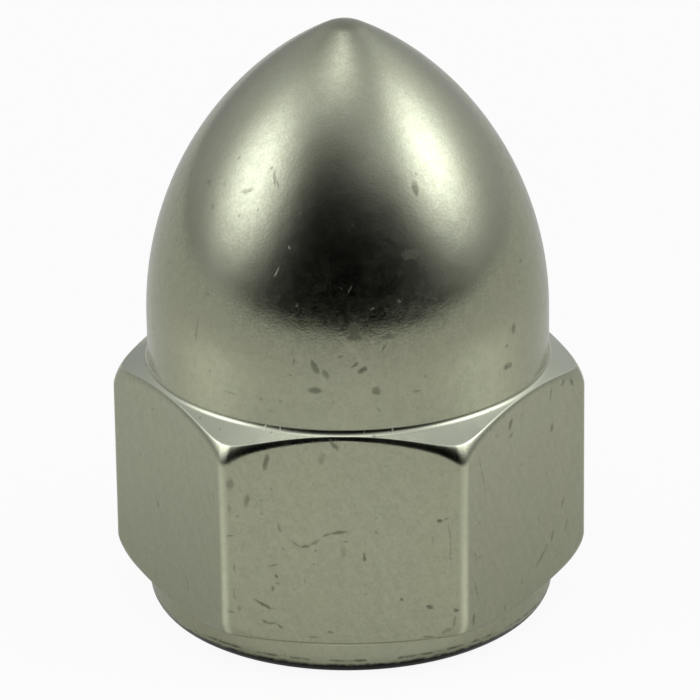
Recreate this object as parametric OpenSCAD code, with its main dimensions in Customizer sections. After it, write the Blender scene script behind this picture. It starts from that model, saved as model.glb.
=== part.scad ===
// High-crown cap nut with a hexagonal grip, a turned collar and a blind threaded hole.
// The origin is the middle of the bearing face, and +Z points to the tip of the crown.

/* [Hexagon] */
// Width of the hexagon across its flats
across_flats = 17; // [14:0.5:24]
// Height of a flat at its middle, between the two chamfers
flat_height = 9.2; // [6:0.1:14]
// Radius on the six upright corners
corner_radius = 0.35; // [0.1:0.05:0.8]
// Slope of the upper chamfer, from level
upper_chamfer_angle = 28; // [15:1:35]
// Slope of the lower chamfer, from level
lower_chamfer_angle = 18; // [10:1:30]

/* [Collar] */
// Height of the collar, from the bearing face to the lower chamfer
collar_height = 1.55; // [1.2:0.05:3]
// How far the collar's side stands inside the flats
collar_inset = 0.1; // [0.05:0.05:0.6]
// Radius on the collar's lower edge
collar_edge_radius = 1; // [0.2:0.05:1.1]

/* [Crown] */
// How far the side of the crown stands inside the flats
crown_inset = 0.22; // [0.1:0.02:1]
// Height of the crown's straight side, from its foot to the start of the arc
crown_straight = 1.95; // [0.5:0.05:5]
// Radius of the arc that closes the crown
crown_arc_radius = 14; // [11:0.5:18]
// Radius of the rounded tip
tip_radius = 1.85; // [0.5:0.05:4]
// Radius of the hollow fillet round the foot of the crown
foot_fillet = 0.15; // [0.05:0.05:0.3]

/* [Threaded hole] */
// Nominal diameter of the thread
thread_diameter = 10; // [6:1:10]
// Pitch of the thread
thread_pitch = 1.5; // [0.75:0.25:1.75]
// Solid metal between the end of the hole and the tip
tip_wall = 7.5; // [5:0.5:10]
// Angle of the cone that the drill leaves at the end of the hole
drill_angle = 118; // [90:2:140]
// How much wider than the thread the countersunk mouth is
mouth_clearance = 0.6; // [0.2:0.1:1.2]

/* [Hidden] */
$fn = 96;

// How far a cut runs past the face that it opens, and a piece into the one that it joins
overcut = 1;
// How far an arc crosses the face that it runs into, so that the two meet in one clean edge
lap = 0.0002;

// Hexagon
flat_radius = across_flats / 2;
corner_reach = flat_radius / cos(30);
arc_centre_radius = flat_radius - corner_radius;
arc_centre_reach = arc_centre_radius / cos(30);
side_width = 2 * arc_centre_radius * tan(30);

// Levels at the middle of a flat
collar_radius = flat_radius - collar_inset;
flat_bottom = collar_height + collar_inset * tan(lower_chamfer_angle);
flat_top = flat_bottom + flat_height;

// Crown: a straight side, an arc that leans in, and a round tip that the arc runs into
crown_radius = flat_radius - crown_inset;
foot_level = flat_top + crown_inset * tan(upper_chamfer_angle);
arc_level = foot_level + crown_straight;
arc_offset = crown_arc_radius - crown_radius;
arc_to_tip = crown_arc_radius - tip_radius;
tip_centre = arc_level + sqrt(arc_to_tip * arc_to_tip - arc_offset * arc_offset);
tip_start = tip_centre + tip_radius * sin(acos(arc_offset / arc_to_tip));
total_height = tip_centre + tip_radius;

// Fillet at the foot of the crown, which touches the straight side and the chamfer
fillet_reach = foot_fillet * tan((90 - upper_chamfer_angle) / 2);

// Hole, drawn at the thread's minor diameter
minor_factor = 1.0825;
minor_radius = (thread_diameter - minor_factor * thread_pitch) / 2;
mouth_radius = (thread_diameter + mouth_clearance) / 2;
mouth_depth = mouth_radius - minor_radius;
hole_end = total_height - tip_wall;
hole_depth = hole_end - minor_radius / tan(drill_angle / 2);

// Level that a chamfer reaches at a radius, where it meets the flats at the level start
function chamfer_level(start, radius, angle) = start + (radius - flat_radius) * tan(angle);

// Outline of the hexagon, with an arc on each corner
module hexagon_outline() {
    circle(r = arc_centre_reach, $fn = 6);
    for (turn = [30 : 60 : 150])
        rotate(turn)
            square([2 * flat_radius, side_width], center = true);
    for (turn = [0 : 60 : 300])
        rotate(turn)
            translate([arc_centre_reach, 0])
                circle(r = corner_radius + lap);
}

// Half section that trims the hexagon to its two chamfers
module chamfer_section() {
    outer = corner_reach + overcut;
    polygon([
        [0, collar_height],
        [collar_radius, collar_height],
        [outer, chamfer_level(flat_bottom, outer, lower_chamfer_angle)],
        [outer, chamfer_level(flat_top, outer, -upper_chamfer_angle)],
        [crown_radius, foot_level],
        [0, foot_level]
    ]);
}

module hexagon() {
    intersection() {
        linear_extrude(height = total_height)
            hexagon_outline();
        rotate_extrude()
            chamfer_section();
    }
}

// Half section of the collar: a straight side over a rounded lower edge
module collar_section() {
    face_radius = collar_radius - collar_edge_radius;
    translate([0, collar_edge_radius])
        square([collar_radius, collar_height + overcut - collar_edge_radius]);
    square([face_radius, collar_height]);
    intersection() {
        translate([face_radius, collar_edge_radius])
            circle(r = collar_edge_radius);
        translate([face_radius, 0])
            square(collar_edge_radius);
    }
}

// Half section of the crown, which starts inside the hexagon
module crown_section() {
    translate([0, foot_level - overcut])
        square([crown_radius, crown_straight + overcut]);
    intersection() {
        translate([-arc_offset, arc_level])
            circle(r = crown_arc_radius);
        translate([0, foot_level])
            square([crown_radius, tip_start - foot_level]);
    }
    intersection() {
        translate([0, tip_centre])
            circle(r = tip_radius + lap);
        translate([0, tip_centre])
            square(tip_radius + overcut);
    }
}

// Half section of the hollow fillet, which starts inside the crown and the hexagon
module fillet_section() {
    chamfer_end = crown_radius + fillet_reach * cos(upper_chamfer_angle);
    difference() {
        polygon([
            [crown_radius - fillet_reach, foot_level - 2 * fillet_reach],
            [chamfer_end, foot_level - 2 * fillet_reach],
            [chamfer_end, chamfer_level(flat_top, chamfer_end, -upper_chamfer_angle)],
            [crown_radius, foot_level + fillet_reach],
            [crown_radius - fillet_reach, foot_level + fillet_reach]
        ]);
        translate([crown_radius + foot_fillet, foot_level + fillet_reach])
            circle(r = foot_fillet + lap);
    }
}

// The blind hole, with its countersunk mouth and the cone that the drill leaves
module threaded_hole() {
    rotate_extrude()
        polygon([
            [0, -overcut],
            [mouth_radius + overcut, -overcut],
            [minor_radius, mouth_depth],
            [minor_radius, hole_depth],
            [0, hole_end]
        ]);
}

module cap_nut() {
    color([0.55, 0.55, 0.49])
        difference() {
            union() {
                hexagon();
                rotate_extrude()
                    collar_section();
                rotate_extrude()
                    crown_section();
                rotate_extrude()
                    fillet_section();
            }
            threaded_hole();
        }
}

cap_nut();
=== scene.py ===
"""Cap nut: one turned and forged nut in satin nickel plate, standing on a pale studio floor.

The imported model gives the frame. The nut is modelled here again with rounded edges and a true
thread, in place of the plain solid, and takes its finish from one material.
"""

import math

import bmesh
import bpy
from bpy.props import FloatProperty, FloatVectorProperty, PointerProperty
from mathutils import Matrix, Vector


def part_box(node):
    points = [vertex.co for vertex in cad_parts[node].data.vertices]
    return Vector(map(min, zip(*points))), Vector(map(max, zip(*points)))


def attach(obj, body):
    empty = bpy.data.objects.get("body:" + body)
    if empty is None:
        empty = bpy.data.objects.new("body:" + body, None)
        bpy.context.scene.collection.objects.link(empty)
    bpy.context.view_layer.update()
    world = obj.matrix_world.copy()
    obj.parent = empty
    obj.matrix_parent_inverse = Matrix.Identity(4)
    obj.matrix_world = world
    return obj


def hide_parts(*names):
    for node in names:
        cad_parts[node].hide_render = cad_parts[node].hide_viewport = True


bl_info = {
    "name": "Cap nut",
    "version": (1, 0, 0),
    "blender": (4, 5, 0),
    "location": "View3D > Sidebar > Cap nut",
    "description": "Models a high-crown cap nut with its thread, and a studio to show it in",
    "category": "Add Mesh",
}

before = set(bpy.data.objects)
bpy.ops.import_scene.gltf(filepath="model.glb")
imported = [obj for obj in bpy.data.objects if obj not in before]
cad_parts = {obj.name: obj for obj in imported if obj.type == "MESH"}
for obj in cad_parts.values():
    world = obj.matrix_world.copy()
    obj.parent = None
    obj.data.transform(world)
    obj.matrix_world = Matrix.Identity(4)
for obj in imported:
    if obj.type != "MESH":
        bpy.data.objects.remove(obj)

NODE = "cap_nut"
PIECE = "nickel_cap_nut"
BOX_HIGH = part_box(NODE)[1]
FLAT_DISTANCE = BOX_HIGH.y
NUT_HEIGHT = BOX_HIGH.z

# The nut is modelled at one unit a millimetre, and brought to metres when it is finished
BENCH = 1000.0
MERGE = 1e-4
# Keeps the finished nut a hair inside its box
FIT = 0.9999

FLATS = 6
SIXTH = 2 * math.pi / FLATS
EDGE_STEPS = 16
# How tight a rolled edge starts and ends, as a share of its radius, and the lean at which it has
# the full radius
EDGE_TIGHT = 0.12
EDGE_FULL = math.radians(19)
EDGE_FULL_SPREAD = math.radians(15)
# How late an edge takes on its shape for the corner, on the way from a flat's middle, and how
# much farther over it is rounded there
EDGE_GROWTH = 9.0
EDGE_OPENING = 0.18
# Turn over which that change is rounded off on the corner itself
EDGE_BLEND = math.radians(1.3)
COLLAR_STEPS = 12
FILLET_STEPS = 6
CROWN_STEPS = 40
TIP_STEPS = 10
SMOOTH_BELOW = math.radians(28)
# The section of a metric thread: how far the minor diameter is under the nominal one, and the width
# of the root, both as shares of the pitch, and the lean of a flank
MINOR_SHARE = 1.0825
ROOT_SHARE = 1 / 8
FLANK_LEAN = math.radians(30)
THREAD_STEPS = 72
# How far the tap's core stays inside the thread, in millimetres, and how far it starts below the
# mouth and is cut off there, in pitches
TAP_MARGIN = 0.2
TAP_START = 3
TAP_CUT = 0.5
# Degrees and steps of each stretch of the spin, from a corner to where the flat runs plain
CORNER_STRETCHES = ((1.48, 5), (3.0, 6), (4.0, 4))
FLAT_STRETCH = (360 / FLATS - 2 * sum(degrees for degrees, steps in CORNER_STRETCHES), 18)


def length(name, description, default):
    """A size in metres."""
    return FloatProperty(name=name, description=description, default=default, min=0.0,
                         precision=5, subtype="DISTANCE", unit="LENGTH")


def angle(name, description, degrees):
    """An angle, given in degrees."""
    return FloatProperty(name=name, description=description, default=math.radians(degrees),
                         subtype="ANGLE", unit="ROTATION")


def share(name, description, default):
    """A plain number from 0 to 1."""
    return FloatProperty(name=name, description=description, default=default, min=0.0,
                         max=1.0, precision=3, subtype="FACTOR")


def colour(name, description, default):
    """A colour, as linear red, green and blue."""
    return FloatVectorProperty(name=name, description=description, default=default, size=3,
                               min=0.0, max=1.0, subtype="COLOR")


class CapNutSizes(bpy.types.PropertyGroup):
    """Sizes of the nut's outside and of its hole."""

    flat_height: length("Flat height", "Height of a flat at its middle", 0.0092)
    upper_chamfer: angle("Upper chamfer", "Slope of the upper chamfer, from level", 28)
    lower_chamfer: angle("Lower chamfer", "Slope of the lower chamfer, from level", 18)
    collar_height: length("Collar height", "Height of the collar", 0.00155)
    collar_inset: length("Collar inset", "How far the collar stands inside the flats", 0.0001)
    collar_edge: length("Collar edge", "Radius on the collar's lower edge", 0.001)
    crown_inset: length("Crown inset", "How far the crown stands inside the flats", 0.00022)
    crown_arc: length("Crown arc", "Radius of the arc that closes the crown", 0.014)
    tip_radius: length("Tip radius", "Radius of the rounded tip", 0.00185)
    foot_fillet: length("Foot fillet", "Radius of the fillet at the crown's foot", 0.00030)
    corner_edge: length("Corner edge", "Radius on the upright corners", 0.0005)
    top_edge_middle: length("Top edge, middle", "Radius of the top edge, mid flat", 0.00046)
    top_edge_end: length("Top edge, ends", "The same near the flat's ends", 0.00098)
    top_edge_corner: length("Top edge, corner", "The same at the corner", 0.0021)
    low_edge_middle: length("Low edge, middle", "Radius of the lower edge, mid flat", 0.0002)
    low_edge_end: length("Low edge, ends", "The same near the flat's ends", 0.0006)
    low_edge_corner: length("Low edge, corner", "The same at the corner", 0.0018)
    thread_diameter: length("Thread", "Nominal diameter of the thread", 0.010)
    thread_pitch: length("Pitch", "Rise of the thread in one turn", 0.0015)
    thread_depth: length("Thread depth", "How far up the hole the full thread runs", 0.0129)
    mouth_clearance: length("Mouth clearance", "How much wider the mouth is than the bolt", 0.0006)
    tip_wall: length("Tip wall", "Solid metal between the hole's end and the tip", 0.0075)
    drill_angle: angle("Drill angle", "Angle of the cone at the end of the hole", 118)


class CapNutFinish(bpy.types.PropertyGroup):
    """Look of the nickel plate."""

    plate: colour("Plate", "Colour of the nickel plate", (0.425, 0.438, 0.312))
    cool_plate: colour("Cool plate", "Colour of its cooler clouds", (0.422, 0.442, 0.328))
    # On the chamfers this lighter, cooler colour is partly a cleaner turned finish and partly
    # painted light for their brighter reflections; on the collar it is painted light
    chamfer: colour("Chamfer", "Colour of the plate on the turned chamfers", (0.555, 0.580, 0.435))
    # On the upright corners this is partly wear and partly a painted highlight; on the nicks it is
    # wear
    worn_and_glinting: colour("Worn", "Colour of worn corners and fine nicks", (0.66, 0.685, 0.50))
    stain: colour("Stain", "Colour of the dull specks and pits", (0.15, 0.152, 0.105))
    # Painted shade: near black on the collar's lower edge, for the reflected shadow under the nut
    painted_rim_shade: colour("Rim", "Colour of the dark rim under the collar", (0.01, 0.01, 0.008))
    bore: colour("Bore", "Colour of the thread and the hole", (0.24, 0.24, 0.185))
    roughness: share("Roughness", "How blurred the plate's reflections are", 0.18)


class CapNutStudio(bpy.types.PropertyGroup):
    """Floor, lights and camera."""

    floor: colour("Floor", "Colour of the paper floor", (0.63, 0.622, 0.583))
    floor_front: length("Floor's front", "From the axis to where reflections lose the floor", 0.18)
    floor_turn: angle("Floor's turn", "How far the floor's front is turned to the right", 10)
    lens: FloatProperty(name="Lens", description="Focal length of the camera, in millimetres",
                        default=311.0, min=10.0, subtype="DISTANCE_CAMERA")
    distance: length("Distance", "From the camera to the nut's axis", 0.2494)
    elevation: angle("Elevation", "Height of the camera over the horizon", 23.45)
    azimuth: angle("Azimuth", "How far the camera stands to the right of the front flat", 1.89)
    roll: angle("Roll", "Lean of the camera", 0.78)
    aim_height: length("Aim, height", "Height on the axis that the camera looks at", 0.01094)
    aim_side: length("Aim, side", "How far to the right of the axis it looks", 0.00007)


# ---------------------------------------------------------------- modelling the nut


def deselect():
    for item in bpy.context.selected_objects:
        item.select_set(False)


def use_mode(mode):
    bpy.ops.object.mode_set(mode=mode)


def start_point(name, place):
    """Adds a primitive and closes it to one point, from which an outline is drawn."""
    deselect()
    bpy.ops.mesh.primitive_plane_add(size=1, location=(0, 0, 0))
    piece = bpy.context.object
    piece.name = name
    piece.data.name = name
    use_mode("EDIT")
    bpy.ops.mesh.select_all(action="SELECT")
    bpy.ops.mesh.merge(type="CENTER")
    bpy.ops.transform.translate(value=place)
    return piece


def line_to(start, end):
    """Extrudes the outline's last point, in the plane of X and Z, and returns its new place."""
    step = (end[0] - start[0], 0, end[1] - start[1])
    bpy.ops.mesh.extrude_region_move(TRANSFORM_OT_translate={"value": step})
    return end


def arc_about(centre, start, degrees, steps):
    """Spins the outline's last point about a centre, in the plane of X and Z."""
    turn = math.radians(degrees)
    bpy.ops.mesh.spin(steps=steps, angle=turn, center=(centre[0], 0, centre[1]), axis=(0, 1, 0))
    x, z = start[0] - centre[0], start[1] - centre[1]
    return (centre[0] + x * math.cos(turn) - z * math.sin(turn),
            centre[1] + x * math.sin(turn) + z * math.cos(turn))


def nut_levels(size):
    """Works out the nut's section, in millimetres, from its driving sizes."""
    s = {}
    s["flat"] = FLAT_DISTANCE * BENCH
    s["height"] = NUT_HEIGHT * BENCH
    s["collar"] = s["flat"] - size.collar_inset * BENCH
    s["crown"] = s["flat"] - size.crown_inset * BENCH
    s["low_slope"] = math.tan(size.lower_chamfer)
    s["top_slope"] = math.tan(size.upper_chamfer)
    s["flat_low"] = size.collar_height * BENCH + size.collar_inset * BENCH * s["low_slope"]
    s["flat_top"] = s["flat_low"] + size.flat_height * BENCH
    s["foot"] = s["flat_top"] + size.crown_inset * BENCH * s["top_slope"]
    s["minor"] = (size.thread_diameter - MINOR_SHARE * size.thread_pitch) / 2 * BENCH
    s["mouth"] = (size.thread_diameter + size.mouth_clearance) / 2 * BENCH
    s["hole_end"] = s["height"] - size.tip_wall * BENCH
    return s


def hexagon_reach(turn, size, s):
    """Distance from the axis to the hexagon's outline, its corners rounded.

    The turn is measured from the nearest corner, in radians.
    """
    corner = size.corner_edge * BENCH
    centre = (s["flat"] - corner) / math.cos(SIXTH / 2)
    rounded = math.atan2(corner * math.sin(SIXTH / 2),
                         centre + corner * math.cos(SIXTH / 2))
    if turn < rounded:
        return centre * math.cos(turn) + math.sqrt(corner ** 2 - (centre * math.sin(turn)) ** 2)
    return s["flat"] / math.cos(SIXTH / 2 - turn)


def rolled_edge(middle, end, corner, turn, bend):
    """Inward and upward steps of an edge that rolls over from the upright wall to a chamfer.

    Its radius grows toward the flat's ends, and more at the corner. It starts and ends tight, so
    the wall and the chamfer meet it in crisp lines.
    """
    away = math.hypot(turn, EDGE_BLEND) - EDGE_BLEND
    along = max(0, 1 - away / (SIXTH / 2))
    at_corner = along ** EDGE_GROWTH
    radius = (middle + (end - middle) * along + (corner - end) * at_corner) * BENCH
    wider = 1 + EDGE_OPENING * at_corner
    points = [(0.0, 0.0)]
    for step in range(EDGE_STEPS):
        lean = bend * (step + 0.5) / EDGE_STEPS
        full = max(0.0, 1 - ((lean / wider - EDGE_FULL) / EDGE_FULL_SPREAD) ** 2)
        local = radius * (EDGE_TIGHT + (1 - EDGE_TIGHT) * full)
        inward, rise = points[-1]
        points.append((inward + local * math.sin(lean) * bend / EDGE_STEPS,
                       rise + local * math.cos(lean) * bend / EDGE_STEPS))
    return points


def wall_section(turn, size, s):
    """The hexagon's section at one turn from a corner, from its lower edge to its top edge."""
    reach = hexagon_reach(turn, size, s)
    edge = rolled_edge(size.low_edge_middle, size.low_edge_end, size.low_edge_corner, turn,
                       math.pi / 2 - size.lower_chamfer)
    inward, rise = edge[-1]
    level = s["flat_low"] + (reach - s["flat"] - inward) * s["low_slope"] + rise
    points = [(reach - step_in, level - step_up) for step_in, step_up in reversed(edge)]
    edge = rolled_edge(size.top_edge_middle, size.top_edge_end, size.top_edge_corner, turn,
                       math.pi / 2 - size.upper_chamfer)
    inward, rise = edge[-1]
    level = s["flat_top"] - (reach - s["flat"] - inward) * s["top_slope"] - rise
    points += [(reach - step_in, level + step_up) for step_in, step_up in edge]
    return points


def draw_section(size, s):
    """Draws half of the nut's section through a corner, from the hole's end to the tip.

    Returns the piece and the numbers of the wall's first and last points.
    """
    piece = start_point(PIECE, (0, 0, s["hole_end"]))
    at = (0, s["hole_end"])
    at = line_to(at, (s["minor"], s["hole_end"] - s["minor"] / math.tan(size.drill_angle / 2)))
    at = line_to(at, (s["minor"], s["mouth"] - s["minor"]))
    at = line_to(at, (s["mouth"], 0))

    edge = size.collar_edge * BENCH
    at = line_to(at, (s["collar"] - edge, 0))
    at = arc_about((s["collar"] - edge, edge), at, 90, COLLAR_STEPS)
    at = line_to(at, (s["collar"], size.collar_height * BENCH))

    # Five points come before the collar's edge, and one after it
    wall_start = 5 + COLLAR_STEPS + 1
    wall = wall_section(0, size, s)
    for point in wall:
        at = line_to(at, point)

    fillet = size.foot_fillet * BENCH
    bend = 90 - math.degrees(size.upper_chamfer)
    tangent = fillet * math.tan(math.radians(bend) / 2)
    run = tangent * math.cos(size.upper_chamfer)
    at = line_to(at, (s["crown"] + run, s["foot"] - run * s["top_slope"]))
    at = arc_about((s["crown"] + fillet, s["foot"] + tangent), at, -bend, FILLET_STEPS)

    arc, tip = size.crown_arc * BENCH, size.tip_radius * BENCH
    offset = arc - s["crown"]
    lean = math.degrees(math.acos(offset / (arc - tip)))
    arc_level = s["height"] - tip - math.sqrt((arc - tip) ** 2 - offset ** 2)
    at = line_to(at, (s["crown"], arc_level))
    at = arc_about((-offset, arc_level), at, lean, CROWN_STEPS)
    arc_about((0, s["height"] - tip), at, 90 - lean, TIP_STEPS)
    return piece, wall_start, len(wall)


def number_points(piece):
    """Numbers the section's points along it, so that each can be found after the spin."""
    mesh = bmesh.from_edit_mesh(piece.data)
    station = mesh.verts.layers.int.new("station")
    for number, vertex in enumerate(mesh.verts):
        vertex[station] = number
    bmesh.update_edit_mesh(piece.data)


def spin_section():
    """Turns the section round the Z axis, in finer steps at each corner than along a flat."""
    bpy.ops.mesh.select_all(action="SELECT")
    stretches = CORNER_STRETCHES + (FLAT_STRETCH,) + CORNER_STRETCHES[::-1]
    for degrees, steps in stretches * FLATS:
        bpy.ops.mesh.spin(steps=steps, angle=math.radians(degrees), center=(0, 0, 0),
                          axis=(0, 0, 1))
    bpy.ops.mesh.select_all(action="SELECT")
    bpy.ops.mesh.remove_doubles(threshold=MERGE)


def press_flats(piece, wall_start, wall_points, size, s):
    """Presses the turned wall in to the six flats, with its rounded edges."""
    mesh = bmesh.from_edit_mesh(piece.data)
    station = mesh.verts.layers.int["station"]
    sections = {}
    for vertex in mesh.verts:
        number = vertex[station] - wall_start
        if not 0 <= number < wall_points:
            continue
        azimuth = math.atan2(vertex.co.y, vertex.co.x)
        turn = round(abs((azimuth + SIXTH / 2) % SIXTH - SIXTH / 2), 6)
        if turn not in sections:
            sections[turn] = wall_section(turn, size, s)
        reach, level = sections[turn][number]
        vertex.co = (reach * math.cos(azimuth), reach * math.sin(azimuth), level)
    bmesh.update_edit_mesh(piece.data)
    bpy.ops.mesh.select_all(action="SELECT")
    bpy.ops.mesh.normals_make_consistent(inside=False)


def apply_modifier(piece, name, kind, **settings):
    modifier = piece.modifiers.new(name, kind)
    for setting, value in settings.items():
        setattr(modifier, setting, value)
    bpy.context.view_layer.objects.active = piece
    bpy.ops.object.modifier_apply(modifier=name)


def make_tap(size, s):
    """Models the tap that cuts the thread: one turn's outline, wound up a right-handed helix."""
    pitch, major = size.thread_pitch * BENCH, size.thread_diameter / 2 * BENCH
    core = s["minor"] - TAP_MARGIN
    rise = (major - core) * math.tan(FLANK_LEAN)
    root = pitch * ROOT_SHARE
    land = (pitch - root - 2 * rise) / 2
    low = -TAP_START * pitch
    tap = start_point("tap", (core, 0, low))
    at = (core, low)
    for step in ((0, land), (major - core, rise), (0, root), (core - major, rise), (0, land)):
        at = line_to(at, (at[0] + step[0], at[1] + step[1]))
    use_mode("OBJECT")
    turns = math.ceil(size.thread_depth * BENCH / pitch) + TAP_START + 1
    apply_modifier(tap, "winding", "SCREW", axis="Z", angle=2 * math.pi, screw_offset=pitch,
                   iterations=turns, steps=THREAD_STEPS, render_steps=THREAD_STEPS,
                   use_merge_vertices=True, merge_threshold=MERGE)
    use_mode("EDIT")
    bpy.ops.mesh.select_all(action="SELECT")
    bpy.ops.mesh.remove_doubles(threshold=MERGE)
    ends = ((Vector((0, 0, -TAP_CUT * pitch)), Vector((0, 0, -1))),
            (Vector((0, 0, size.thread_depth * BENCH)), Vector((0, 0, 1))))
    for place, out in ends:
        bpy.ops.mesh.select_all(action="SELECT")
        bpy.ops.mesh.bisect(plane_co=place, plane_no=out, use_fill=True, clear_outer=True,
                            threshold=MERGE)
    bpy.ops.mesh.select_all(action="SELECT")
    bpy.ops.mesh.normals_make_consistent(inside=False)
    use_mode("OBJECT")
    return tap


def to_metres():
    use_mode("EDIT")
    bpy.ops.mesh.select_all(action="SELECT")
    bpy.ops.transform.resize(value=(FIT / BENCH,) * 3, center_override=(0, 0, 0))
    use_mode("OBJECT")


def model_nut(size):
    s = nut_levels(size)
    piece, wall_start, wall_points = draw_section(size, s)
    number_points(piece)
    spin_section()
    press_flats(piece, wall_start, wall_points, size, s)
    use_mode("OBJECT")

    tap = make_tap(size, s)
    deselect()
    piece.select_set(True)
    apply_modifier(piece, "thread", "BOOLEAN", object=tap, operation="DIFFERENCE", solver="EXACT")
    bpy.data.objects.remove(tap)
    to_metres()
    deselect()
    piece.select_set(True)
    bpy.ops.object.shade_smooth_by_angle(angle=SMOOTH_BELOW)
    apply_modifier(piece, "even_shading", "WEIGHTED_NORMAL", mode="FACE_AREA", weight=50,
                   keep_sharp=True)
    return piece


# ---------------------------------------------------------------- nickel plate


def new_group(name, inputs, outputs):
    """Starts a node group with named sockets, and returns it with its two ends."""
    group = bpy.data.node_groups.new(name, "ShaderNodeTree")
    for label, kind, default in inputs:
        socket = group.interface.new_socket(name=label, in_out="INPUT", socket_type=kind)
        if default is not None:
            socket.default_value = default
    for label, kind in outputs:
        group.interface.new_socket(name=label, in_out="OUTPUT", socket_type=kind)
    return group, group.nodes.new("NodeGroupInput"), group.nodes.new("NodeGroupOutput")


def add_node(tree, kind, links=None, **settings):
    """Adds a node, sets its properties, and feeds its inputs with values or sockets."""
    node = tree.nodes.new(kind)
    for setting, value in settings.items():
        setattr(node, setting, value)
    for key, value in (links or {}).items():
        if isinstance(value, bpy.types.NodeSocket):
            tree.links.new(value, node.inputs[key])
        else:
            node.inputs[key].default_value = value
    return node


def do_math(tree, operation, *values):
    node = add_node(tree, "ShaderNodeMath", dict(enumerate(values)), operation=operation)
    return node.outputs[0]


def ramp(tree, value, low, high, to_low=0.0, to_high=1.0):
    """Maps a value smoothly from one range to another."""
    node = add_node(tree, "ShaderNodeMapRange",
                    {"Value": value, "From Min": low, "From Max": high, "To Min": to_low,
                     "To Max": to_high}, interpolation_type="SMOOTHSTEP")
    return node.outputs["Result"]


def surface_group():
    """Object coordinates in millimetres, and the crown and the flats laid out as sheets.

    On the crown's sheet, across is measured round the nut from the front. On the flats' sheet it
    is measured along each flat from its middle, and each flat has SHEET_STEP of its own. The
    back half repeats the front's sheets, moved up or turned over. The third number is 1.
    """
    group, _, end = new_group(
        "nut surface", [],
        [("Place", "NodeSocketVector"), ("Crown sheet", "NodeSocketVector"),
         ("Flats sheet", "NodeSocketVector"), ("Up", "NodeSocketFloat"),
         ("From axis", "NodeSocketFloat"), ("Corner", "NodeSocketFloat")])
    where = add_node(group, "ShaderNodeTexCoord")
    scaled = add_node(group, "ShaderNodeVectorMath", {0: where.outputs["Object"], 3: BENCH},
                      operation="SCALE")
    parts = add_node(group, "ShaderNodeSeparateXYZ", {0: scaled.outputs[0]})
    x, y, z = parts.outputs
    level = add_node(group, "ShaderNodeCombineXYZ", {0: x, 1: y})
    reach = add_node(group, "ShaderNodeVectorMath", {0: level.outputs[0]}, operation="LENGTH")
    turn = do_math(group, "ARCTAN2", x, do_math(group, "ABSOLUTE", y))
    back = do_math(group, "GREATER_THAN", y, 0.0)
    flipped = do_math(group, "MULTIPLY_ADD", z, -2.0, FLAT_MIDDLE * 2)
    flat_up = do_math(group, "MULTIPLY_ADD", back, flipped, z)
    crown_up = do_math(group, "MULTIPLY_ADD", back, BACK_SHIFT, z)
    number = do_math(group, "ROUND", do_math(group, "DIVIDE", turn, SIXTH))
    local = do_math(group, "MULTIPLY_ADD", number, -SIXTH, turn)
    along = do_math(group, "MULTIPLY", reach.outputs["Value"], do_math(group, "SINE", local))
    across = do_math(group, "MULTIPLY_ADD", number, SHEET_STEP, along)
    crown = add_node(group, "ShaderNodeCombineXYZ",
                     {0: do_math(group, "MULTIPLY", turn, CROWN_RADIUS), 1: crown_up, 2: 1.0})
    flats = add_node(group, "ShaderNodeCombineXYZ", {0: across, 1: flat_up, 2: 1.0})
    uneven = add_node(group, "ShaderNodeTexNoise",
                      {"Vector": scaled.outputs[0], "Scale": SHAKE_SCALE, "Detail": 2.0})
    drift = add_node(group, "ShaderNodeVectorMath",
                     {0: uneven.outputs["Color"], 1: (0.5, 0.5, 0.5)}, operation="SUBTRACT")
    shake = add_node(group, "ShaderNodeVectorMath", {0: drift.outputs[0], 1: (SHAKE, SHAKE, 0)},
                     operation="MULTIPLY")
    for sheet, socket in ((crown, "Crown sheet"), (flats, "Flats sheet")):
        shaken = add_node(group, "ShaderNodeVectorMath",
                          {0: sheet.outputs[0], 1: shake.outputs[0]}, operation="ADD")
        group.links.new(shaken.outputs[0], end.inputs[socket])
    group.links.new(scaled.outputs[0], end.inputs["Place"])
    group.links.new(z, end.inputs["Up"])
    group.links.new(reach.outputs["Value"], end.inputs["From axis"])
    corner = ramp(group, do_math(group, "ABSOLUTE", local), *CORNER_WEAR_AND_HIGHLIGHT)
    group.links.new(do_math(group, "MULTIPLY", corner, ramp(group, z, *CORNER_HEIGHTS)),
                    end.inputs["Corner"])
    return group


def specks_group():
    """Small scattered specks, one in each chosen cell of random cells."""
    group, start, end = new_group(
        "scattered specks",
        [("Vector", "NodeSocketVector", None), ("Scale", "NodeSocketFloat", 1.0),
         ("Share", "NodeSocketFloat", 0.2), ("Size", "NodeSocketFloat", 0.15)],
        [("Mask", "NodeSocketFloat")])
    cells = add_node(group, "ShaderNodeTexVoronoi",
                     {"Vector": start.outputs["Vector"], "Scale": start.outputs["Scale"]},
                     feature="F1")
    pick = add_node(group, "ShaderNodeSeparateColor", {0: cells.outputs["Color"]})
    chosen = do_math(group, "LESS_THAN", pick.outputs[0], start.outputs["Share"])
    reach = do_math(group, "MULTIPLY", pick.outputs[1], start.outputs["Size"])
    inner = do_math(group, "MULTIPLY", reach, 0.5)
    near = ramp(group, cells.outputs["Distance"], reach, inner)
    group.links.new(do_math(group, "MULTIPLY", near, chosen), end.inputs["Mask"])
    return group


def clouds_group():
    """Soft variation from 0 to 1."""
    group, start, end = new_group(
        "clouds",
        [("Vector", "NodeSocketVector", None), ("Scale", "NodeSocketFloat", 1.0),
         ("Detail", "NodeSocketFloat", 4.0)],
        [("Value", "NodeSocketFloat")])
    noise = add_node(group, "ShaderNodeTexNoise",
                     {"Vector": start.outputs["Vector"], "Scale": start.outputs["Scale"],
                      "Detail": start.outputs["Detail"], "Roughness": 0.6})
    group.links.new(ramp(group, noise.outputs["Fac"], 0.3, 0.7), end.inputs["Value"])
    return group


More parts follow.
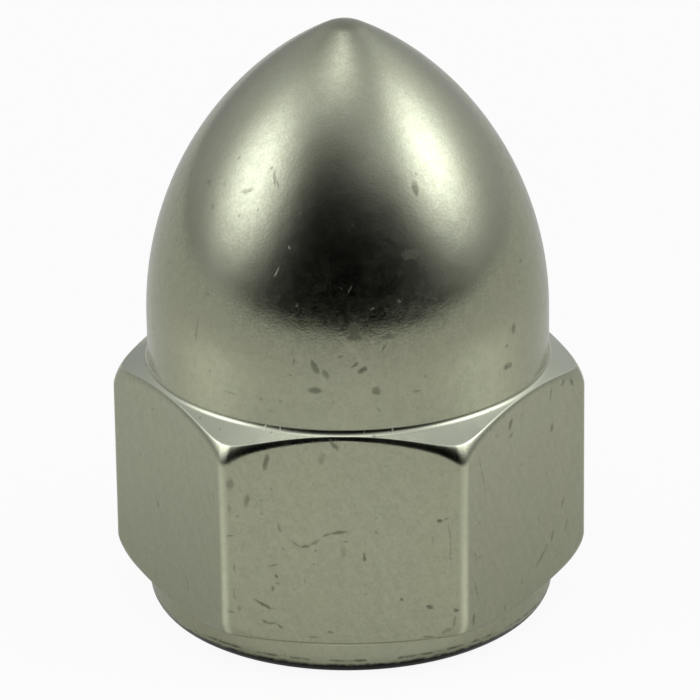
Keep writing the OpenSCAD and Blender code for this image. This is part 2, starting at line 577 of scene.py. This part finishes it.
# Turn from a flat's middle over which an upright corner grows lighter, partly with wear and partly
# with a painted highlight along its rounding, and the heights over which it goes from one share to
# another, in millimetres
CORNER_WEAR_AND_HIGHLIGHT = (math.radians(28.3), math.radians(30.1))
CORNER_HEIGHTS = (11.0, 2.5, 0.45, 1.0)
# How fine the unevenness of the marks' outlines is, and how far it goes, in millimetres
SHAKE_SCALE = 8.0
SHAKE = 0.16
# Heights on the collar, in millimetres: its top, below which it takes a little painted light, the
# fade of its near-black rim of painted shade, and the broken line above it
COLLAR_TOP = (1.62, 1.5)
PAINTED_RIM_SHADE_FADE = (0.76, 0.54)
DASH_LINE = (0.77, 0.84)
# Heights over which the crown's own marks and the turned rings begin, in millimetres
CROWN_FOOT = (10.85, 10.95)
RING_FADE = (12.6, 11.2)
# What each kind of variation leaves of the plate's colour
MOTTLE_TINT = (0.90, 0.90, 0.88)
FLECK_TINT = (0.92, 0.92, 0.91)
RUB_TINT = (0.95, 0.95, 0.95)
LINE_TINT = (0.72, 0.72, 0.64)
# Depths of the relief, in millimetres
GRAIN_DEPTH = 0.0033
PEEL_DEPTH = 0.006
RING_DEPTH = 0.0006
# Radius of the crown, and the width that each flat has on the flats' sheet, in millimetres
CROWN_RADIUS = 8.28
SHEET_STEP = 10.0
# Height of a flat's middle, and how far the crown's sheet moves at the back
FLAT_MIDDLE = 6.18
BACK_SHIFT = -1.35

# Dull marks on the crown: degrees round from the front, height, half length, half width, the
# angle of its length from level, and how strong the mark is. Lengths are in millimetres.
CROWN_STAINS = (
    (-7.5, 13.75, 0.27, 0.12, -65, 0.8), (-4.5, 13.45, 0.19, 0.10, -60, 0.7),
    (3.6, 13.85, 0.16, 0.05, 40, 0.8), (5.8, 13.65, 0.20, 0.09, 30, 0.9),
    (-7.5, 12.75, 0.25, 0.13, 0, 0.8), (9.5, 12.7, 0.17, 0.14, -45, 1.0),
    (-13.5, 13.9, 0.16, 0.05, 80, 0.6), (-0.5, 14.2, 0.13, 0.05, 15, 0.6),
    (11.9, 14.5, 0.16, 0.05, 60, 0.5), (13.1, 14.95, 0.30, 0.10, 0, 0.6),
    (21, 12.5, 0.21, 0.05, 0, 0.5), (3.6, 15.3, 0.30, 0.20, 90, 0.8),
    (3.6, 15.0, 0.30, 0.12, 0, 0.8), (56, 13.9, 0.21, 0.14, 85, 0.7),
    (52.5, 13.3, 0.09, 0.07, 0, 0.6), (53, 12.4, 0.27, 0.12, 0, 0.8),
    (65, 16.3, 0.14, 0.07, 0, 0.5), (-37, 20.05, 0.36, 0.08, 15, 0.5),
    (-47, 21.0, 0.10, 0.08, 0, 0.5), (-48.5, 20.0, 0.12, 0.08, 0, 0.5),
    (-30.5, 19.5, 0.07, 0.06, 0, 0.5), (-57, 19.8, 0.14, 0.10, 0, 0.6),
    (-50, 19.1, 0.13, 0.10, 0, 0.5), (28.6, 20.3, 0.24, 0.17, 80, 0.9),
    (-27, 20.7, 0.26, 0.07, -60, 0.7), (-29.5, 21.0, 0.12, 0.06, 30, 0.6),
    (-25, 20.5, 0.14, 0.05, -50, 0.6), (22.2, 18.0, 0.40, 0.18, -5, 0.6),
    (-46, 14.3, 0.50, 0.05, 85, 0.4), (-43, 15.9, 0.12, 0.08, 0, 0.4),
    (10, 11.9, 0.14, 0.05, -50, 0.4), (-33, 12.1, 0.30, 0.04, 0, 0.3),
)
# Fine bright scratches and nicks on the crown, given in the same way
CROWN_NICKS = (
    (-19.9, 17.4, 0.19, 0.035, 65, 0.9), (-16.7, 18.35, 0.08, 0.04, -45, 0.7),
    (2.7, 16.9, 0.16, 0.035, 60, 0.6), (9, 16.1, 0.09, 0.04, 20, 0.5),
    (-13, 16.2, 0.07, 0.04, 50, 0.5), (17, 16.3, 0.08, 0.04, -30, 0.5),
    (-22, 10.95, 0.14, 0.035, 70, 1.0), (-17.5, 10.93, 0.10, 0.03, 100, 0.8),
    (14, 10.95, 0.14, 0.03, 85, 1.0), (6, 10.92, 0.08, 0.02, 80, 0.6),
)
# Dull marks on the flats: number of the flat, round from the front, then the place along it from
# its middle, and the rest as on the crown
FLAT_STAINS = (
    (0, -0.36, 10.5, 0.28, 0.09, -53, 0.8), (0, -3.08, 9.74, 0.34, 0.10, 79, 0.8),
    (0, -0.85, 9.87, 0.26, 0.12, 70, 0.35), (0, -4.55, 8.76, 0.24, 0.13, 80, 0.5),
    (0, -3.88, 8.04, 0.26, 0.10, 80, 0.6), (0, -4.59, 7.73, 0.18, 0.07, 90, 0.4),
    (0, -4.27, 7.33, 0.08, 0.05, 0, 0.4), (0, -2.6, 6.84, 0.20, 0.05, -75, 0.5),
    (0, -4.59, 6.48, 0.13, 0.05, 10, 0.5), (0, -1.93, 6.11, 0.18, 0.045, -40, 0.6),
    (0, -1.57, 6.0, 0.17, 0.06, 5, 0.8), (0, -1.17, 6.17, 0.23, 0.05, 30, 0.6),
    (0, -0.72, 6.49, 0.17, 0.05, 22, 0.7), (0, -0.2, 6.62, 0.31, 0.07, 5, 0.85),
    (0, 0.08, 6.22, 0.11, 0.05, 20, 0.6), (0, -0.04, 5.77, 0.28, 0.10, 90, 0.35),
    (0, -1.13, 5.82, 0.08, 0.06, 45, 0.5), (0, 0.82, 5.53, 0.18, 0.055, 90, 1.0),
    (0, 1.29, 6.64, 0.08, 0.05, -30, 0.7), (0, 3.86, 7.15, 0.10, 0.07, 25, 1.0),
    (0, 4.1, 7.22, 0.13, 0.03, 20, 0.6), (0, 4.25, 6.7, 0.34, 0.03, -82, 0.5),
    (0, 4.29, 5.8, 0.55, 0.03, 90, 0.4), (0, 3.58, 6.26, 0.20, 0.04, 90, 0.3),
    (0, -4.43, 5.06, 0.17, 0.04, 90, 0.5), (0, -2.9, 5.15, 0.19, 0.04, 10, 0.6),
    (0, -2.74, 4.66, 0.08, 0.07, 0, 0.8), (0, -2.7, 4.35, 0.09, 0.06, 0, 0.35),
    (0, -2.9, 4.12, 0.10, 0.06, 90, 0.7), (0, -1.59, 4.48, 0.16, 0.03, 90, 0.5),
    (0, -4.47, 3.86, 0.20, 0.04, 90, 0.5), (0, -3.3, 3.41, 0.38, 0.06, -32, 0.9),
    (0, -4.27, 3.23, 0.11, 0.07, 90, 0.5), (0, -4.59, 3.06, 0.15, 0.05, -20, 0.5),
    (0, -3.26, 2.65, 0.15, 0.05, -30, 0.7), (0, -2.98, 2.57, 0.17, 0.05, 0, 0.7),
    (0, -2.64, 2.43, 0.14, 0.045, -40, 0.8), (0, -0.6, 2.16, 0.12, 0.06, 0, 0.7),
    (0, -1.31, 1.94, 0.21, 0.04, 0, 0.6), (0, 2.29, 3.63, 0.09, 0.06, 10, 1.0),
    (0, 3.44, 3.3, 0.14, 0.10, -10, 1.0), (0, 4.49, 3.14, 0.11, 0.08, 0, 1.0),
    (0, 4.43, 2.61, 0.26, 0.05, 82, 0.6), (0, 4.14, 2.25, 0.21, 0.08, 25, 0.6),
    (0, 3.36, 1.96, 0.20, 0.05, 0, 0.8),
    (1, -1.31, 10.0, 0.22, 0.12, 60, 0.9), (1, -1.31, 9.5, 0.15, 0.09, 0, 0.6),
    (1, 2.05, 8.56, 0.17, 0.10, 90, 0.8), (1, 2.95, 10.2, 0.17, 0.10, 20, 0.8),
    (1, 3.69, 9.95, 0.22, 0.09, -50, 0.8), (1, 1.97, 10.1, 0.25, 0.05, 80, 0.7),
    (1, -3.6, 8.77, 0.95, 0.03, -73, 0.6), (1, 2.95, 4.82, 0.23, 0.10, 60, 0.7),
    (1, 3.24, 3.67, 0.33, 0.06, 60, 0.5), (1, 2.09, 3.63, 0.21, 0.08, 65, 0.7),
    (1, 1.64, 3.37, 0.09, 0.06, 0, 0.5), (1, 1.23, 3.04, 0.50, 0.07, 30, 0.6),
    (1, -4.1, 5.23, 0.20, 0.05, -60, 0.5), (1, -4.1, 3.74, 0.45, 0.04, -75, 0.7),
    (1, -4.3, 2.51, 0.27, 0.09, 85, 0.9), (1, -1.8, 1.96, 0.12, 0.06, 90, 0.5),
    (1, 0.98, 4.8, 0.16, 0.06, 90, 0.3), (1, -2.4, 9.9, 0.10, 0.07, 0, 0.4),
    (-1, -0.86, 5.57, 0.16, 0.10, 90, 0.7), (-1, 1.67, 2.99, 0.26, 0.05, -70, 0.5),
    (-1, 4.2, 7.93, 0.16, 0.05, -60, 0.5), (-1, -2.4, 7.2, 0.09, 0.06, 0, 0.4),
    (-1, -1.13, 9.74, 0.08, 0.06, 0, 0.4), (-1, -1.58, 3.07, 0.08, 0.07, 0, 0.4),
)


def mark_group():
    """One soft, turned ellipse on a sheet, from two measures across it.

    Each measure is a slope across, a slope up and an offset, so the sheet's third number is 1.
    """
    group, start, end = new_group(
        "one mark",
        [("Sheet", "NodeSocketVector", None), ("Along", "NodeSocketVector", None),
         ("Aside", "NodeSocketVector", None), ("Strength", "NodeSocketFloat", 1.0)],
        [("Mask", "NodeSocketFloat")])
    along, aside = (
        add_node(group, "ShaderNodeVectorMath",
                 {0: start.outputs["Sheet"], 1: start.outputs[side]},
                 operation="DOT_PRODUCT").outputs["Value"] for side in ("Along", "Aside"))
    away = do_math(group, "MULTIPLY_ADD", aside, aside, do_math(group, "MULTIPLY", along, along))
    group.links.new(ramp(group, away, 2.1, 0.1, 0.0, start.outputs["Strength"]),
                    end.inputs["Mask"])
    return group


def add_marks(tree, group, sheet, marks):
    """Joins the marks of one sheet into one mask.

    Each has its place across and up, half length, half width, angle in degrees and strength.
    """
    joined = None
    for across, height, long, wide, degrees, strength in marks:
        mark = add_node(tree, "ShaderNodeGroup", node_tree=group)
        tree.links.new(sheet, mark.inputs["Sheet"])
        lean = math.radians(degrees)
        for name, half, turn in (("Along", long, lean), ("Aside", wide, lean + math.pi / 2)):
            slope = Vector((math.cos(turn), math.sin(turn))) / half
            mark.inputs[name].default_value = (*slope, -slope.dot((across, height)))
        mark.inputs["Strength"].default_value = strength
        mask = mark.outputs[0]
        joined = mask if joined is None else do_math(tree, "MAXIMUM", joined, mask)
    return joined


def band(tree, value, low, high, soft):
    """1 between two levels, fading to 0 outside them."""
    rise = ramp(tree, value, low - soft, low)
    fall = ramp(tree, value, high + soft, high)
    return do_math(tree, "MULTIPLY", rise, fall)


def tint(tree, below, above, mask, mode="MIX"):
    """Lays one colour over another where a mask says."""
    mix = add_node(tree, "ShaderNodeMix", data_type="RGBA", blend_type=mode)
    for socket, value in ((0, mask), (6, below), (7, above)):
        if isinstance(value, bpy.types.NodeSocket):
            tree.links.new(value, mix.inputs[socket])
        else:
            mix.inputs[socket].default_value = value if socket == 0 else (*value, 1)
    return mix.outputs[2]


def nickel_plate(look, size):
    s = nut_levels(size)
    material = bpy.data.materials.new("satin_nickel_plate")
    material.use_nodes = True
    tree = material.node_tree
    tree.nodes.clear()
    surface = add_node(tree, "ShaderNodeGroup", node_tree=surface_group())
    place, crown_sheet, flats_sheet, up, reach, corner = surface.outputs

    def place_group(group, vector, **values):
        node = add_node(tree, "ShaderNodeGroup", node_tree=group)
        tree.links.new(vector, node.inputs["Vector"])
        for key, value in values.items():
            node.inputs[key].default_value = value
        return node.outputs[0]

    # Where things are: the two chamfers, the upright corners, the collar's line and the bore. Both
    # chamfers are cones, on which height plus slope times the distance from the axis is even.
    chamfers = []
    for start, slope in ((s["flat_top"], s["top_slope"]), (s["flat_low"], -s["low_slope"])):
        cone = do_math(tree, "MULTIPLY_ADD", reach, slope, up)
        level = start + s["flat"] * slope
        chamfers.append(band(tree, cone, level - 0.015, level + 0.015, 0.05))
    low_line = band(tree, cone, level + 0.03, level + 0.07, 0.03)
    chamfer = do_math(tree, "MULTIPLY", do_math(tree, "MAXIMUM", *chamfers),
                      ramp(tree, reach, CROWN_RADIUS - 0.03, CROWN_RADIUS + 0.06))
    corner = do_math(tree, "MULTIPLY", corner, ramp(tree, reach, 9.0, 9.4))
    corner = do_math(tree, "MULTIPLY", corner, do_math(tree, "SUBTRACT", 1.0, chamfer))
    low_line = do_math(tree, "MULTIPLY", low_line, ramp(tree, up, 2.2, 2.0))
    bore = ramp(tree, reach, 6.2, 5.6)
    inside = do_math(tree, "MULTIPLY", bore, ramp(tree, up, 18.3, 18.0))

    # What varies: broad clouds, finer mottling, diagonal rub marks and turned rings
    clouds, specks = clouds_group(), specks_group()
    broad = place_group(clouds, place, Scale=0.35, Detail=4.0)
    mottle = place_group(clouds, place, Scale=2.6, Detail=5.0)
    flecks = place_group(clouds, place, Scale=9.0, Detail=2.0)
    rubbed = add_node(tree, "ShaderNodeMapping",
                      {"Vector": flats_sheet, "Rotation": (0, 0, math.radians(-62)),
                       "Scale": (2.6, 0.22, 1)}, vector_type="TEXTURE")
    rubs = place_group(clouds, rubbed.outputs[0], Scale=1.0, Detail=3.0)
    ring_line = add_node(tree, "ShaderNodeCombineXYZ",
                         {0: do_math(tree, "MULTIPLY", reach, 9.0),
                          1: do_math(tree, "MULTIPLY", up, 9.0)})
    rings = add_node(tree, "ShaderNodeTexNoise",
                     {"Vector": ring_line.outputs[0], "Scale": 1.0, "Detail": 2.0})
    turned = do_math(tree, "MAXIMUM", chamfer, ramp(tree, up, *RING_FADE))
    grain = add_node(tree, "ShaderNodeTexNoise",
                     {"Vector": place, "Scale": 9.0, "Detail": 2.0, "Roughness": 0.75})
    peel = add_node(tree, "ShaderNodeTexNoise", {"Vector": place, "Scale": 1.1, "Detail": 1.0})

    # Marks: those that can be told apart, and small specks all round
    mark = mark_group()
    crown_marks = [(math.radians(turn) * CROWN_RADIUS, *rest) for turn, *rest in CROWN_STAINS]
    flat_marks = [(flat * SHEET_STEP + along, *rest) for flat, along, *rest in FLAT_STAINS]
    on_crown = ramp(tree, up, *CROWN_FOOT)
    on_flats = do_math(tree, "SUBTRACT", 1.0, on_crown)
    crown_stain = add_marks(tree, mark, crown_sheet, crown_marks)
    flat_stain = add_marks(tree, mark, flats_sheet, flat_marks)
    stain = do_math(tree, "MAXIMUM", do_math(tree, "MULTIPLY", crown_stain, on_crown),
                    do_math(tree, "MULTIPLY", flat_stain, on_flats))
    stain = do_math(tree, "MULTIPLY", stain, ramp(tree, mottle, 0.0, 0.6, 0.7, 1.0))
    scattered = place_group(specks, place, Scale=2.4, Share=0.16, Size=0.26)
    stain = do_math(tree, "MAXIMUM", stain, do_math(tree, "MULTIPLY", scattered, 0.4))
    broken = ramp(tree, place_group(clouds, crown_sheet, Scale=0.8, Detail=2.0), 0.25, 0.45)
    dashes = do_math(tree, "MULTIPLY", band(tree, up, *DASH_LINE, 0.05),
                     do_math(tree, "MULTIPLY", ramp(tree, reach, 8.2, 8.3), broken))
    dashes = do_math(tree, "MULTIPLY", dashes, ramp(tree, mottle, 0.1, 0.9, 0.25, 1.0))
    stain = do_math(tree, "MAXIMUM", stain, dashes)
    # Painted shade: a near-black rim on the collar's lower edge, for the reflected shadow under the
    # nut
    painted_rim_shade = ramp(tree, do_math(tree, "MULTIPLY_ADD", mottle, 0.10, up), *PAINTED_RIM_SHADE_FADE)
    painted_rim_shade = do_math(tree, "MULTIPLY", painted_rim_shade, ramp(tree, reach, 7.3, 7.6))
    nick_marks = [(math.radians(turn) * CROWN_RADIUS, *rest) for turn, *rest in CROWN_NICKS]
    nicks = add_marks(tree, mark, crown_sheet, nick_marks)

    # Colour
    shade = tint(tree, look.plate, look.cool_plate, do_math(tree, "MULTIPLY", broad, 0.6))
    shade = tint(tree, shade, MOTTLE_TINT, do_math(tree, "MULTIPLY", mottle, 0.6), "MULTIPLY")
    shade = tint(tree, shade, FLECK_TINT, flecks, "MULTIPLY")
    shade = tint(tree, shade, RUB_TINT, do_math(tree, "MULTIPLY", rubs, on_flats), "MULTIPLY")
    # Painted light, in part: the chamfers take the lighter chamfer colour, partly for a cleaner
    # turned finish and partly for their brighter reflections; the collar takes a little of it as
    # painted light
    cooler = do_math(tree, "MAXIMUM", chamfer, ramp(tree, up, *COLLAR_TOP, 0.0, 0.16))
    shade = tint(tree, shade, look.chamfer, cooler)
    # Upright corners: lighter, partly with wear and partly with a painted highlight along the
    # rounding
    shade = tint(tree, shade, look.worn_and_glinting,
                 do_math(tree, "MULTIPLY", corner, ramp(tree, mottle, 0.0, 0.8, 0.75, 1.0)))
    shade = tint(tree, shade, LINE_TINT, low_line, "MULTIPLY")
    shade = tint(tree, shade, look.stain, do_math(tree, "MULTIPLY", stain, 0.82))
    # Painted shade: the near-black rim on the collar's lower edge
    shade = tint(tree, shade, look.painted_rim_shade, painted_rim_shade)
    shade = tint(tree, shade, look.worn_and_glinting, nicks)
    shade = tint(tree, shade, look.bore, inside)

    # Roughness
    rough = ramp(tree, broad, 0.0, 1.0, look.roughness - 0.06, look.roughness - 0.01)
    rough = do_math(tree, "MULTIPLY_ADD", mottle, 0.05, rough)
    rough = do_math(tree, "MULTIPLY_ADD", flecks, 0.05, rough)
    rough = do_math(tree, "MULTIPLY_ADD", chamfer, -0.05, rough)
    rough = do_math(tree, "MULTIPLY_ADD", stain, 0.22, rough)
    rough = do_math(tree, "MULTIPLY_ADD", nicks, 0.25, rough)
    rough = do_math(tree, "MULTIPLY_ADD", inside, 0.15, rough)

    # Relief, in millimetres
    relief = do_math(tree, "MULTIPLY", grain.outputs["Fac"], GRAIN_DEPTH)
    relief = do_math(tree, "MULTIPLY_ADD", peel.outputs["Fac"], PEEL_DEPTH, relief)
    relief = do_math(tree, "MULTIPLY_ADD", do_math(tree, "MULTIPLY", rings.outputs["Fac"], turned),
                     RING_DEPTH, relief)
    bump = add_node(tree, "ShaderNodeBump", {"Height": relief, "Strength": 1.0,
                                             "Distance": 1 / BENCH})
    shader = add_node(tree, "ShaderNodeBsdfPrincipled",
                      {"Base Color": shade, "Metallic": 1.0, "Roughness": rough,
                       "Normal": bump.outputs[0]})
    end = add_node(tree, "ShaderNodeOutputMaterial")
    tree.links.new(shader.outputs[0], end.inputs["Surface"])
    return material


# ---------------------------------------------------------------- studio


# The room's light is a little cool, and the floor's paper a little warm
LIGHT_TINT = (0.985, 1.0, 1.07)
# Soft lights of the room: name, azimuth, elevation, angle at which half is left, and brightness
ROOM_LIGHTS = (
    ("left box", -78, 32.5, 16.5, 2.75),
    ("right box", 85, 37.5, 16.5, 3.25),
    ("overhead", -77, 86, 19.0, 1.05),
    ("ceiling lamp", -120, 87, 9, 0.45),
    ("left wall", -119, 29, 29.5, 0.52),
    ("right wall", 123, 35, 19.5, 0.60),
    ("back wall", 155, 0, 51.5, 0.50),
    ("right small lamp", 37, 54, 13, 0.39),
    ("left small lamp", -62, 60, 13, 0.14),
)
# The camera's side takes away light in the same way: azimuth, elevation, angle, share
DARK_SIDES = ((-9, 6, 21, 1.0), (16, 7, 21, 1.0))
# Half the floor's width, in metres
FLOOR_REACH = 1.2
# How much plain white is laid over the floor, as seen directly and in reflections
SEEN_WHITE = 0.93
REFLECTED_WHITE = 0.1
# Lamps that only light the floor: name, place, size and power
FLOOR_LAMPS = (("left floor lamp", (-0.037, -0.010, 0.020), 0.012, 0.0027),
               ("right floor lamp", (0.037, -0.008, 0.020), 0.012, 0.0027),
               ("front floor lamp", (0.0, -0.026, 0.026), 0.012, 0.0016))


def white_share(tree, seen, reflected):
    """How much plain white is laid over a surface: by eye, and in metal and glass."""
    path = add_node(tree, "ShaderNodeLightPath")
    indirect = do_math(tree, "MAXIMUM", path.outputs["Is Glossy Ray"],
                       path.outputs["Is Transmission Ray"])
    return do_math(tree, "MULTIPLY_ADD", path.outputs["Is Camera Ray"], seen,
                   do_math(tree, "MULTIPLY", indirect, reflected))


def paper_material(name, shade):
    """Pale paper that is seen nearly white and keeps a soft shadow."""
    material = bpy.data.materials.new(name)
    material.use_nodes = True
    tree = material.node_tree
    shader = tree.nodes["Principled BSDF"]
    shader.inputs["Base Color"].default_value = (*shade, 1)
    shader.inputs["Roughness"].default_value = 1.0
    shader.inputs["Specular IOR Level"].default_value = 0.0
    white = add_node(tree, "ShaderNodeEmission", {"Color": (1, 1, 1, 1), "Strength": 1.0})
    mixed = add_node(tree, "ShaderNodeMixShader",
                     {0: white_share(tree, SEEN_WHITE, REFLECTED_WHITE), 1: shader.outputs[0],
                      2: white.outputs[0]})
    tree.links.new(mixed.outputs[0], tree.nodes["Material Output"].inputs["Surface"])
    return material


def make_card(name, wide, long, place, turn, material):
    """A flat level card of the stage, turned about the nut's axis."""
    deselect()
    bpy.ops.mesh.primitive_plane_add(size=1, location=(0, 0, 0))
    card = bpy.context.object
    card.name = name
    card.data.name = name
    card.data.transform(Matrix.Rotation(turn, 4, "Z") @ Matrix.Translation(place)
                        @ Matrix.Diagonal((wide, long, 1, 1)))
    card.data.materials.append(material)
    return card


def direction(azimuth, elevation):
    """Unit vector; azimuth 0 is the camera's side, and 90 is to its right."""
    a, e = math.radians(azimuth), math.radians(elevation)
    return Vector((math.sin(a) * math.cos(e), -math.cos(a) * math.cos(e), math.sin(e)))


def make_camera(studio):
    data = bpy.data.cameras.new("camera")
    data.sensor_width = 36
    data.lens = studio.lens
    data.clip_start, data.clip_end = 0.01, 5
    camera = bpy.data.objects.new("camera", data)
    bpy.context.scene.collection.objects.link(camera)
    back = direction(math.degrees(studio.azimuth), math.degrees(studio.elevation))
    side = Vector((math.cos(studio.azimuth), math.sin(studio.azimuth), 0))
    aim = Vector((0, 0, studio.aim_height)) + side * studio.aim_side
    turn = back.to_track_quat("Z", "Y").to_matrix()
    lean = Matrix.Rotation(-studio.roll, 3, "Z")
    camera.matrix_world = Matrix.Translation(aim + back * studio.distance) @ (turn @ lean).to_4x4()
    bpy.context.scene.camera = camera


def lobe(tree, toward, azimuth, elevation, half_angle, name):
    """1 in one direction, half of that at the half angle, and fading on beyond."""
    sharpness = math.log(2) / (1 - math.cos(math.radians(half_angle)))
    aside = add_node(tree, "ShaderNodeVectorMath", {0: toward, 1: direction(azimuth, elevation)},
                     operation="DOT_PRODUCT", label=name)
    fade = do_math(tree, "MULTIPLY_ADD", aside.outputs["Value"], sharpness, -sharpness)
    return do_math(tree, "EXPONENT", fade)


def make_room():
    """The world: a dark room with soft lights, each fading by its own angle."""
    world = bpy.data.worlds.new("room")
    world.use_nodes = True
    tree = world.node_tree
    toward = add_node(tree, "ShaderNodeTexCoord").outputs["Generated"]
    total = None
    for name, azimuth, elevation, half_angle, glow in ROOM_LIGHTS:
        fade = lobe(tree, toward, azimuth, elevation, half_angle, name)
        light = do_math(tree, "MULTIPLY", fade, glow)
        total = light if total is None else do_math(tree, "ADD", total, light)
    for azimuth, elevation, half_angle, taken in DARK_SIDES:
        fade = lobe(tree, toward, azimuth, elevation, half_angle, "dark side")
        left = do_math(tree, "MULTIPLY_ADD", fade, -taken, 1.0)
        total = do_math(tree, "MULTIPLY", total, left)
    tree.links.new(total, tree.nodes["Background"].inputs["Strength"])
    tree.nodes["Background"].inputs["Color"].default_value = (*LIGHT_TINT, 1)
    white = add_node(tree, "ShaderNodeBackground", {"Color": (1, 1, 1, 1), "Strength": 1.0})
    mixed = add_node(tree, "ShaderNodeMixShader",
                     {0: white_share(tree, 1.0, 0.0), 1: tree.nodes["Background"].outputs[0],
                      2: white.outputs[0]})
    tree.links.new(mixed.outputs[0], tree.nodes["World Output"].inputs["Surface"])
    bpy.context.scene.world = world


def make_floor_lamp(name, place, wide, power):
    data = bpy.data.lights.new(name, "AREA")
    data.shape = "DISK"
    data.size = wide
    data.energy = power
    lamp = bpy.data.objects.new(name, data)
    bpy.context.scene.collection.objects.link(lamp)
    lamp.location = place
    lamp.visible_glossy = False


def make_studio(studio):
    make_camera(studio)
    paper = paper_material("pale_paper", studio.floor)
    reach, front, turn = FLOOR_REACH, -studio.floor_front, studio.floor_turn
    make_card("floor", 2 * reach, reach - front, (0, (reach + front) / 2, 0), turn, paper)
    apron = make_card("floor_apron", 2 * reach, reach + front, (0, (front - reach) / 2, 0),
                      turn, paper)
    # Reflections lose the floor there, and show the dark side of the room
    apron.visible_glossy = False
    make_room()
    for lamp in FLOOR_LAMPS:
        make_floor_lamp(*lamp)
    bpy.context.scene.view_settings.view_transform = "Standard"


# ---------------------------------------------------------------- operators and panel


class OBJECT_OT_cap_nut(bpy.types.Operator):
    """Model the nut with its rounded edges and thread, and give it its nickel plate"""

    bl_idname = "object.cap_nut"
    bl_label = "Cap nut"

    def execute(self, context):
        size = context.scene.cap_nut_sizes
        piece = model_nut(size)
        piece.data.materials.clear()
        piece.data.materials.append(nickel_plate(context.scene.cap_nut_finish, size))
        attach(piece, "root")
        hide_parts(NODE)
        return {"FINISHED"}


class OBJECT_OT_cap_nut_studio(bpy.types.Operator):
    """Set the pale floor, the soft lights and the camera round the nut"""

    bl_idname = "object.cap_nut_studio"
    bl_label = "Studio"

    def execute(self, context):
        make_studio(context.scene.cap_nut_studio)
        return {"FINISHED"}


class VIEW3D_PT_cap_nut(bpy.types.Panel):
    """Lists the steps that make the nut and its studio."""

    bl_label = "Cap nut"
    bl_idname = "VIEW3D_PT_cap_nut"
    bl_space_type = "VIEW_3D"
    bl_region_type = "UI"
    bl_category = "Cap nut"

    def draw(self, context):
        scene = context.scene
        steps = (("object.cap_nut", (scene.cap_nut_sizes, scene.cap_nut_finish)),
                 ("object.cap_nut_studio", (scene.cap_nut_studio,)))
        for step, groups in steps:
            box = self.layout.box()
            box.operator(step)
            for group in groups:
                for name in group.__annotations__:
                    box.prop(group, name)


CLASSES = (CapNutSizes, CapNutFinish, CapNutStudio, OBJECT_OT_cap_nut, OBJECT_OT_cap_nut_studio,
           VIEW3D_PT_cap_nut)


def register():
    for entry in CLASSES:
        bpy.utils.register_class(entry)
    bpy.types.Scene.cap_nut_sizes = PointerProperty(type=CapNutSizes)
    bpy.types.Scene.cap_nut_finish = PointerProperty(type=CapNutFinish)
    bpy.types.Scene.cap_nut_studio = PointerProperty(type=CapNutStudio)


def unregister():
    del bpy.types.Scene.cap_nut_sizes
    del bpy.types.Scene.cap_nut_finish
    del bpy.types.Scene.cap_nut_studio
    for entry in reversed(CLASSES):
        bpy.utils.unregister_class(entry)


def main():
    register()
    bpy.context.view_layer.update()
    bpy.ops.object.cap_nut()
    bpy.ops.object.cap_nut_studio()


if __name__ == "__main__":
    main()
